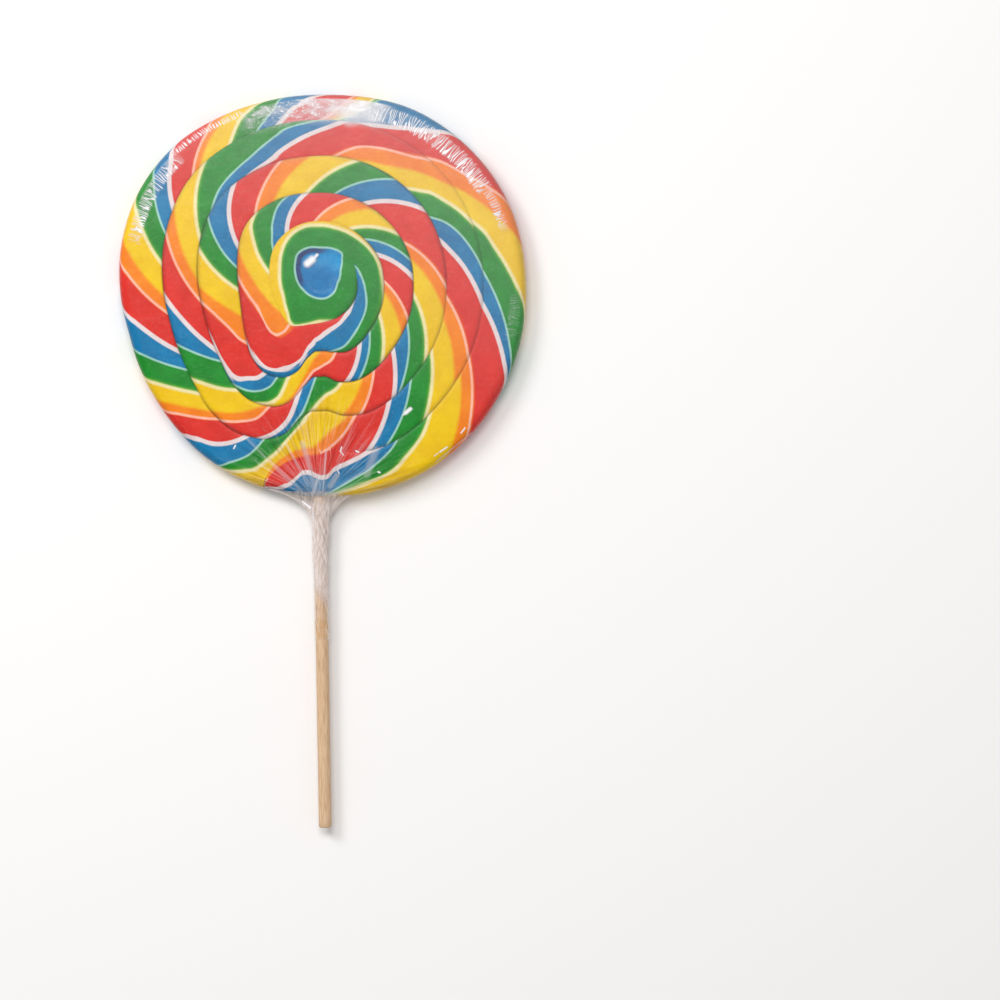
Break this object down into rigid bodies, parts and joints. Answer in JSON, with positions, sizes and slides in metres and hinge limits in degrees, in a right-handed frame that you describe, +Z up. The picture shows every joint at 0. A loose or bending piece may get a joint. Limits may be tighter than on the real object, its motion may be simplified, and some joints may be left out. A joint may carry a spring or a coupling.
{
  "type": "swirl lollipop",
  "caption": "Large flat round lollipop: a coiled, pressed candy rope in rainbow stripes on a round wooden stick, with clear film gathered round the top of the stick. It lies on its back.",
  "frame": {"origin": "on the candy's flat underside, in the middle of its outline", "axes": "+Z up through the disc's thickness, out of the shown face; the stick runs towards -Y; +X is to the right seen from above with the stick pointing down"},
  "size_m": [0.1508, 0.2718, 0.01],
  "materials": {
    "candy": "pressed boiled sugar, glossy, opaque, in stripes of red, orange, yellow, green and blue with thin white lines between them",
    "stick": "plain unvarnished pale wood, fine grain along the stick",
    "film": "thin clear film, glossy, milky where it is crumpled"
  },
  "bodies": {
    "root": {"candy": "candy", "stick": "stick", "film_neck": "film"}
  },
  "joints": []
}
